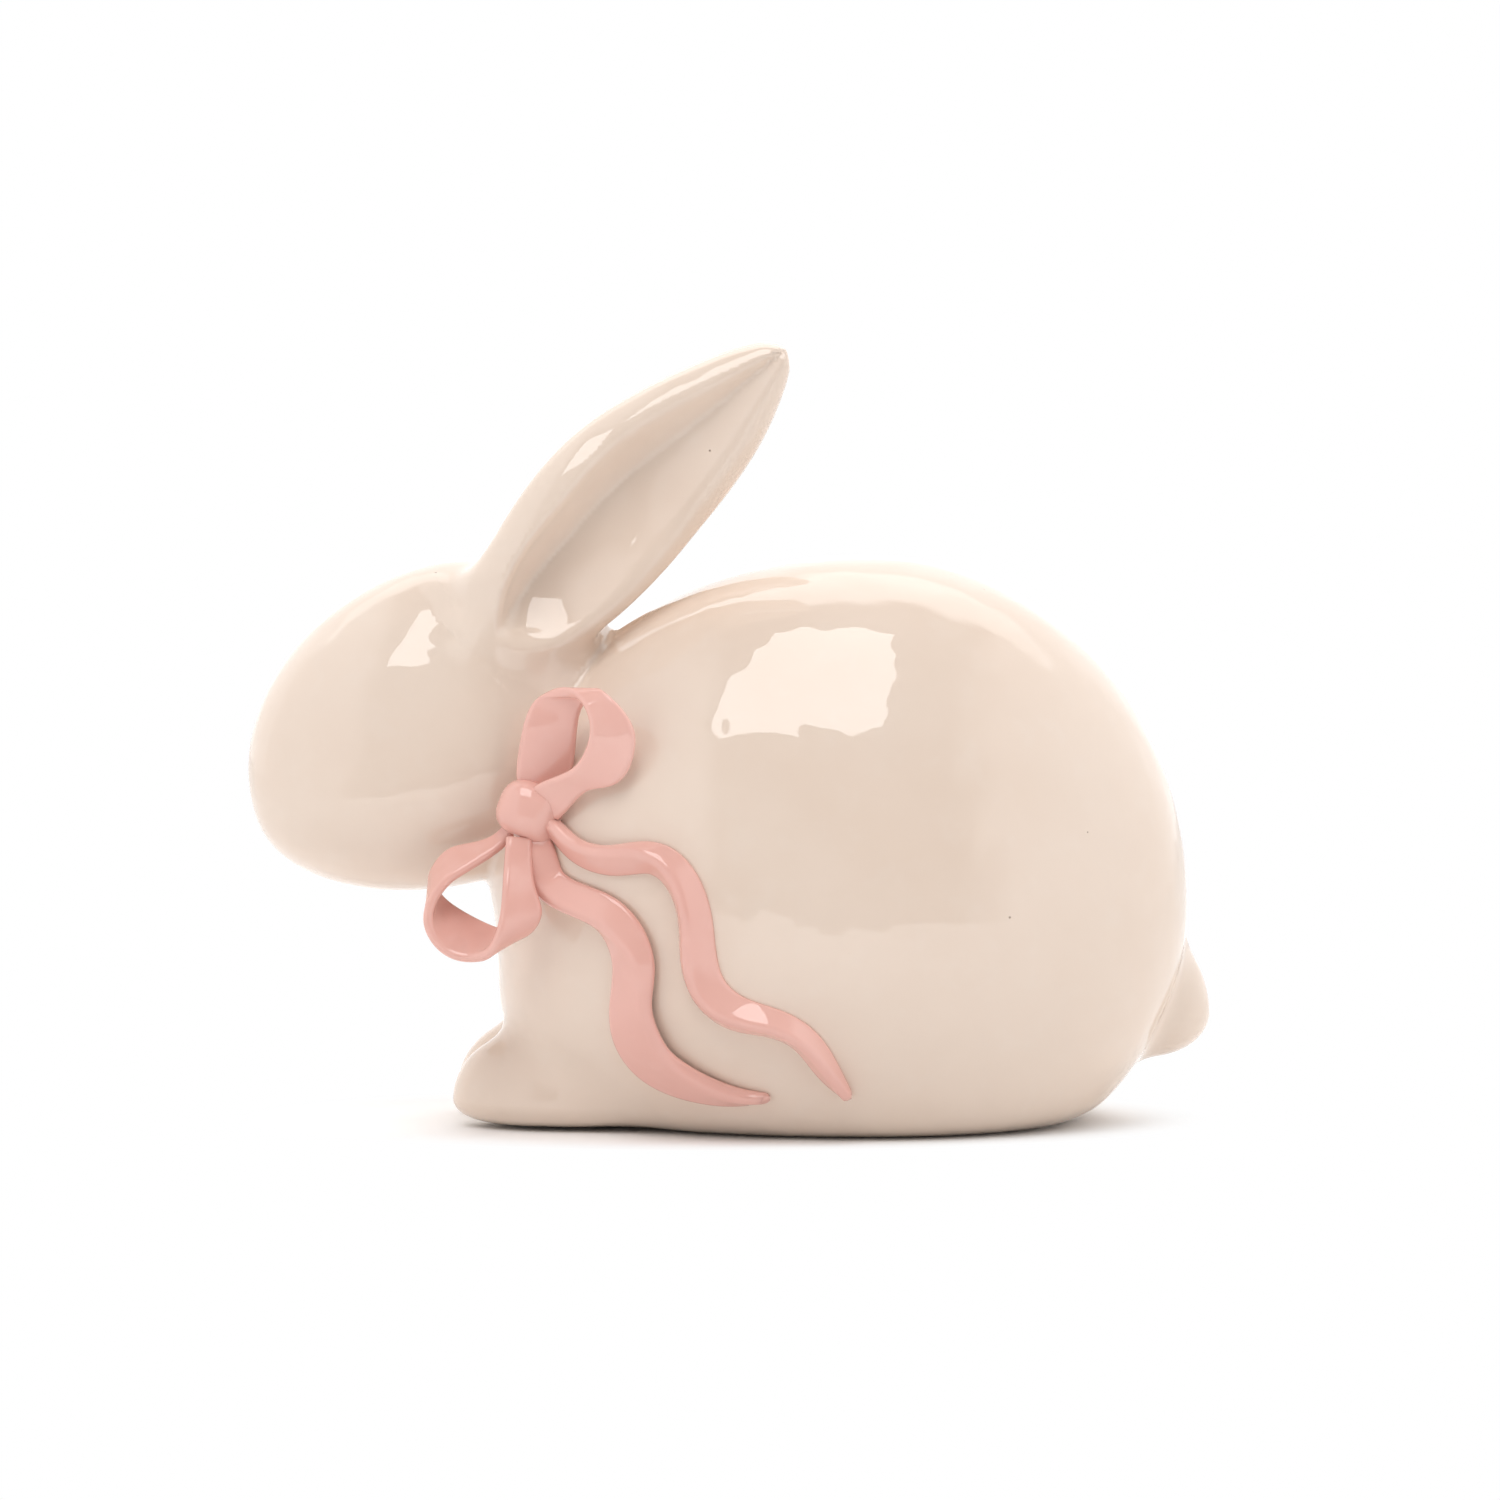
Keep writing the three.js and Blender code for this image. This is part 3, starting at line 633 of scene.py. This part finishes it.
# x, z and width of the middle line, then where the ridge runs across the width from -1 at the
# lower edge to 1 at the upper one, and the heights of lower edge, ridge and upper edge
STREAMER_FRONT = [
    (-43, 69, 5, -0.3, 2.0, 4.2, 2.2), (-40.4, 63, 6, -0.45, 1.6, 4.9, 1.8),
    (-38.6, 57, 7, -0.55, 1.4, 5.0, 1.8), (-33.3, 53.2, 7.8, -0.5, 1.3, 4.8, 2.0),
    (-27, 50.6, 8.4, -0.45, 1.4, 4.5, 2.2), (-22.4, 46, 9.2, -0.2, 1.6, 4.1, 2.6),
    (-20.2, 39.2, 9.6, 0.4, 1.8, 3.9, 3.0), (-20.7, 31.7, 9.6, 0.7, 1.8, 3.9, 3.3),
    (-20, 24.8, 10.8, 0.75, 1.8, 4.0, 3.4), (-16.6, 18.7, 10.4, 0.75, 1.8, 3.9, 3.3),
    (-11, 14.6, 9, 0.7, 1.7, 3.8, 3.0), (-4.5, 12, 7, 0.6, 1.6, 3.5, 2.6),
    (2.3, 10.6, 4.6, 0.4, 1.6, 3.0, 2.2), (9, 10.6, 1.8, 0, 1.6, 2.2, 1.6)]
STREAMER_REAR = [
    (-42, 71, 4, 0.3, 1.6, 3.6, 1.8), (-37.5, 68, 4.6, 0.5, 1.5, 3.9, 2.2),
    (-32.6, 63.8, 5.6, 0.7, 1.4, 4.1, 2.6), (-25, 62, 6.6, 0.75, 1.4, 4.1, 2.8),
    (-16.7, 62.8, 7, 0.2, 1.5, 4.3, 1.8), (-10.5, 58.7, 7.2, -0.25, 1.6, 4.4, 1.5),
    (-7.4, 51, 7.3, -0.45, 1.6, 4.3, 1.3), (-6.6, 43, 7.8, -0.55, 1.6, 4.2, 1.3),
    (-4.6, 35, 8.2, -0.55, 1.5, 4.2, 1.4), (1.3, 29.6, 7.8, -0.3, 1.5, 4.4, 1.4),
    (9.2, 27.4, 6.6, -0.1, 1.5, 4.6, 1.5), (16.4, 23.7, 6.1, 0, 1.5, 4.4, 1.5),
    (21.5, 17, 5.4, 0.3, 1.5, 4.0, 1.6), (26.4, 10.6, 2.2, 0.4, 1.7, 2.7, 1.8)]

# the streamers' round tips and their ridges, and the search for the flank under them
TIP_ROUNDNESS, TIP_LEAST = 0.8, 0.02
RIDGE_LIMIT, RIDGE_ROUNDING = 0.92, 0.12
FLANK_SEARCH, FLANK_HALVINGS = 8.0, 30

# points across a strip and round its edge, and steps along it
ACROSS, EDGE_POINTS = 21, 7
LOOP_STEPS, STREAMER_STEPS = 220, 320


def smooth_curve(points, count):
    """A smooth curve through rows of numbers, taken at even steps."""
    p = np.array(points, float)
    n = len(p)
    system = np.diag(np.full(n, 4.0)) + np.diag(np.ones(n - 1), 1) + np.diag(np.ones(n - 1), -1)
    system[0, 0] = system[-1, -1] = 2
    right = np.zeros_like(p)
    right[1:-1] = 3 * (p[2:] - p[:-2])
    right[0], right[-1] = 3 * (p[1] - p[0]), 3 * (p[-1] - p[-2])
    slope = np.linalg.solve(system, right)
    t = np.linspace(0, n - 1, count)
    i = np.minimum(t.astype(int), n - 2)
    f = (t - i)[:, None]
    a, b, c, d = p[i], p[i + 1], slope[i], slope[i + 1]
    return a + f * (c + f * (3 * (b - a) - 2 * c - d + f * (2 * (a - b) + c + d)))


def ribbon(sheet, thick):
    """A clay strip with round edges about its middle sheet, whose points are [step, across]."""
    along = np.gradient(sheet, axis=0)
    across = np.gradient(sheet, axis=1)
    up = unit(np.cross(along, across))
    half = (thick / 2)[:, None, None]
    rings = [sheet + up * half]
    angles = np.linspace(0, math.pi, EDGE_POINTS + 2)[1:-1]
    for end, inner in ((-1, -2), (0, 1)):
        out = unit(sheet[:, end] - sheet[:, inner])
        arc = [sheet[:, end] + (up[:, end] * math.cos(a) + out * math.sin(a)) * half[:, 0]
               for a in (angles if end else angles[::-1])]
        rings.append(np.stack(arc, 1))
        if end:
            rings.append((sheet - up * half)[:, ::-1])
    ring = np.concatenate(rings, 1)
    steps, n = ring.shape[:2]
    points = ring.reshape(-1, 3)
    s, i = np.meshgrid(np.arange(steps - 1), np.arange(n), indexing="ij")
    j = (i + 1) % n
    quads = np.stack([s * n + i, (s + 1) * n + i, (s + 1) * n + j, s * n + j], -1).reshape(-1, 4)
    ends = [points[:n].mean(0), points[-n:].mean(0)]
    first, last = len(points), len(points) + 1
    caps = [(k, (k + 1) % n, first) for k in range(n)]
    caps += [((steps - 1) * n + (k + 1) % n, (steps - 1) * n + k, last) for k in range(n)]
    return np.vstack([points, ends]), quads.tolist() + caps


def loop(near, far):
    """A strip bent to a loop between its two edges."""
    one, two = smooth_curve(near, LOOP_STEPS), smooth_curve(far, LOOP_STEPS)
    width = np.linalg.norm(two - one, axis=1)
    thick = np.minimum(STRIP_THICKNESS, STRIP_FLATNESS * width)
    inset = (thick / 2 / width)[:, None, None]
    u = np.linspace(0, 1, ACROSS)[None, :, None]
    share = inset + u * (1 - 2 * inset)
    return ribbon(one[:, None] + share * (two - one)[:, None], thick)


def body_on_its_foot(p):
    return common(body_form(p), -p[:, 2], FOOT_FILLET)


def flank(x, z):
    """The points of the body's surface on the bow's side, and the ways out of it."""
    inner, outer = np.zeros(len(x)), np.full(len(x), -BODY_HALF_WIDTH - FLANK_SEARCH)
    for _ in range(FLANK_HALVINGS):
        y = (inner + outer) / 2
        inside = body_on_its_foot(np.stack([x, y, z], 1)) < 0
        inner, outer = np.where(inside, y, inner), np.where(inside, outer, y)
    p = np.stack([x, inner, z], 1)
    return p, unit(gradient(body_on_its_foot, p))


def streamer(line):
    """A strip laid in folds on the flank, with a ridge along it and a round tip."""
    rows = smooth_curve(line, STREAMER_STEPS).T[:, :, None]
    x, z, width, ridge, lower, crest, upper = rows
    way = np.gradient(np.hstack([x, z]), axis=0)
    gone = np.cumsum(np.linalg.norm(way, axis=1))[:, None]
    left = (gone[-1] - gone) / (width[-1] * TIP_ROUNDNESS)
    tip = np.sqrt(1 - np.clip(1 - left, 0, 1) ** 2) + TIP_LEAST
    thick = STRIP_THICKNESS * tip
    width = np.maximum(width * tip, thick * STREAMER_FLATNESS)
    u = np.linspace(-1, 1, ACROSS)[None, :]
    offset = u * (width - thick) / 2
    way = unit(way)
    px, pz = x - way[:, 1:] * offset, z + way[:, :1] * offset
    base, out = (v.reshape(*px.shape, 3) for v in flank(px.ravel(), pz.ravel()))
    ridge = np.clip(ridge, -RIDGE_LIMIT, RIDGE_LIMIT)
    apart = np.where(u < ridge, (ridge - u) / (ridge + 1), (u - ridge) / (1 - ridge))
    edge = np.where(u < ridge, lower, upper)
    bend = np.hypot(apart, RIDGE_ROUNDING) - RIDGE_ROUNDING
    bend /= math.hypot(1, RIDGE_ROUNDING) - RIDGE_ROUNDING
    height = (crest + (edge - crest) * bend - thick / 2) * tip
    return ribbon((base + out * height[..., None])[:, ::-1], thick[:, 0])


def knot():
    """A ball of clay pressed to a rounded cube."""
    ball = bmesh.new()
    bmesh.ops.create_icosphere(ball, subdivisions=5, radius=1.0)
    ways = np.array([v.co[:] for v in ball.verts])
    faces = [[v.index for v in f.verts] for f in ball.faces]
    ball.free()

    def form(q):
        local = turned(q, -KNOT_TILT, 0, 2)
        d = egg(local, *KNOT_HALF, (KNOT_POWER, 2.0, KNOT_POWER), KNOT_POWER)
        return common(d, q @ KNOT_FACET - KNOT_FACET_REACH, KNOT_FACET_FILLET)

    near, far = np.zeros(len(ways)), np.full(len(ways), KNOT_SEARCH)
    for _ in range(KNOT_HALVINGS):
        middle = (near + far) / 2
        inside = form(ways * middle[:, None]) < 0
        near, far = np.where(inside, middle, near), np.where(inside, far, middle)
    return KNOT_CENTRE + ways * near[:, None], faces


# all the pieces

pieces = {name: (*shape, ivory) for name, shape in glazed_ceramic().items()}
pieces["bow_knot"] = (*knot(), None, pink)
pieces["bow_loop_upper"] = (*loop(UPPER_NEAR, UPPER_FAR), None, pink)
pieces["bow_loop_lower"] = (*loop(LOWER_NEAR, LOWER_FAR), None, pink)
pieces["bow_streamer_front"] = (*streamer(STREAMER_FRONT), None, pink)
pieces["bow_streamer_rear"] = (*streamer(STREAMER_REAR), None, pink)

# the smooth forms stand a hair outside the faceted solids, so the whole is fitted to their box
SPARE = 0.01
every = np.vstack([shape[0] for shape in pieces.values()])
low, high = every.min(0), every.max(0)
cad_low, cad_high = (np.array(corner) / MM for corner in cad_box)
share = np.minimum(1, (cad_high - cad_low - 2 * SPARE) / (high - low))
middle = (cad_low + cad_high) / 2 - share * (low + high) / 2
middle[2] = cad_low[2] - share[2] * low[2]
for name, (points, faces, corners, material) in pieces.items():
    piece = make_mesh(name, points * share + middle, faces, corners, material)
    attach(piece, "root")
    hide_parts(name)


# studio, in metres

FLOOR_SIZE, FLOOR_BACK = (4.0, 3.5, 1.0, 1.0), 1.25
# the floor shows its shadow in an oval about the rabbit, and plain white beyond it
SHADOW_SQUEEZE, SHADOW_FROM, SHADOW_TO = 0.54, 0.043, 0.059

SOFTBOX_WIDTH, SOFTBOX_LENGTH, SOFTBOX_WATTS = 0.64, 0.98, 8.2
SOFTBOX_WAY, SOFTBOX_DISTANCE = Vector((-0.118, -0.470, 0.875)).normalized(), 1.2
SOFTBOX_AIM = Vector((0.020, -0.045, 0.101))

# panels of light about the rabbit: where each begins and is full, measured along its own axis
# of the sphere of directions, and its strength
LEFT_FROM, LEFT_FULL, LEFT_LIGHT = 0.36, 0.52, 0.95
RIGHT_FROM, RIGHT_FULL, RIGHT_LIGHT = 0.42, 0.58, 1.22
BEHIND_FROM, BEHIND_FULL, BEHIND_LIGHT = 0.17, 0.29, 1.22
CEILING_FROM, CEILING_FULL, CEILING_LIGHT = 0.66, 0.72, 0.85
ROOM_LIGHT = 0.10


def make_floor():
    bpy.ops.mesh.primitive_plane_add(size=1.0)
    floor = bpy.context.object
    floor.name = "table"
    floor.data.transform(Matrix.Diagonal(FLOOR_SIZE))
    floor.data.transform(Matrix.Translation((0.0, FLOOR_BACK, 0.0)))
    material = bpy.data.materials.new("table")
    paint = Paint(material)
    shader = paint.node("ShaderNodeBsdfPrincipled", {
        "Base Color": rgb(0.93, 0.93, 0.93), "Roughness": 0.7, "Specular IOR Level": 0.2})
    white = paint.node("ShaderNodeEmission", {"Color": rgb(1.0, 1.0, 1.0), "Strength": 1.0})
    place = paint.node("ShaderNodeTexCoord", {}, out=3)
    oval = paint.node("ShaderNodeVectorMath", {0: place, 1: (SHADOW_SQUEEZE, 1.0, 1.0)},
                      operation="MULTIPLY")
    away = paint.node("ShaderNodeVectorMath", {0: oval}, out=1, operation="LENGTH")
    by_camera = paint.node("ShaderNodeLightPath", {}, out=0)
    beyond = away.smooth(SHADOW_FROM, SHADOW_TO) * by_camera
    both = paint.node("ShaderNodeMixShader", {0: beyond, 1: shader, 2: white})
    paint.node("ShaderNodeOutputMaterial", {"Surface": both})
    floor.data.materials.append(material)


def make_softbox():
    data = bpy.data.lights.new("softbox", "AREA")
    data.shape = "RECTANGLE"
    data.size, data.size_y = SOFTBOX_WIDTH, SOFTBOX_LENGTH
    data.energy = SOFTBOX_WATTS
    light = bpy.data.objects.new("softbox", data)
    bpy.context.scene.collection.objects.link(light)
    light.location = SOFTBOX_AIM + SOFTBOX_WAY * SOFTBOX_DISTANCE
    light.rotation_euler = SOFTBOX_WAY.to_track_quat("Z", "Y").to_euler()


def make_world():
    world = bpy.data.worlds.new("studio")
    bpy.context.scene.world = world
    paint = Paint(world)
    way = paint.node("ShaderNodeTexCoord", {}, out=0)
    x, y, z = (paint.node("ShaderNodeSeparateXYZ", {0: way}, out=i) for i in range(3))
    sides = ((0 - x).smooth(LEFT_FROM, LEFT_FULL) * LEFT_LIGHT
             + x.smooth(RIGHT_FROM, RIGHT_FULL) * RIGHT_LIGHT)
    behind = y.smooth(BEHIND_FROM, BEHIND_FULL)
    ceiling = behind * z.smooth(CEILING_FROM, CEILING_FULL) * CEILING_LIGHT
    light = sides.larger(behind * BEHIND_LIGHT) + ceiling + ROOM_LIGHT
    by_camera = paint.node("ShaderNodeLightPath", {}, out=0)
    strength = light + by_camera * (1 - light)
    ground = paint.node("ShaderNodeBackground", {"Color": rgb(1.0, 1.0, 1.0), "Strength": strength})
    paint.node("ShaderNodeOutputWorld", {"Surface": ground})


make_floor()
make_softbox()
make_world()
bpy.context.scene.view_settings.view_transform = "Standard"
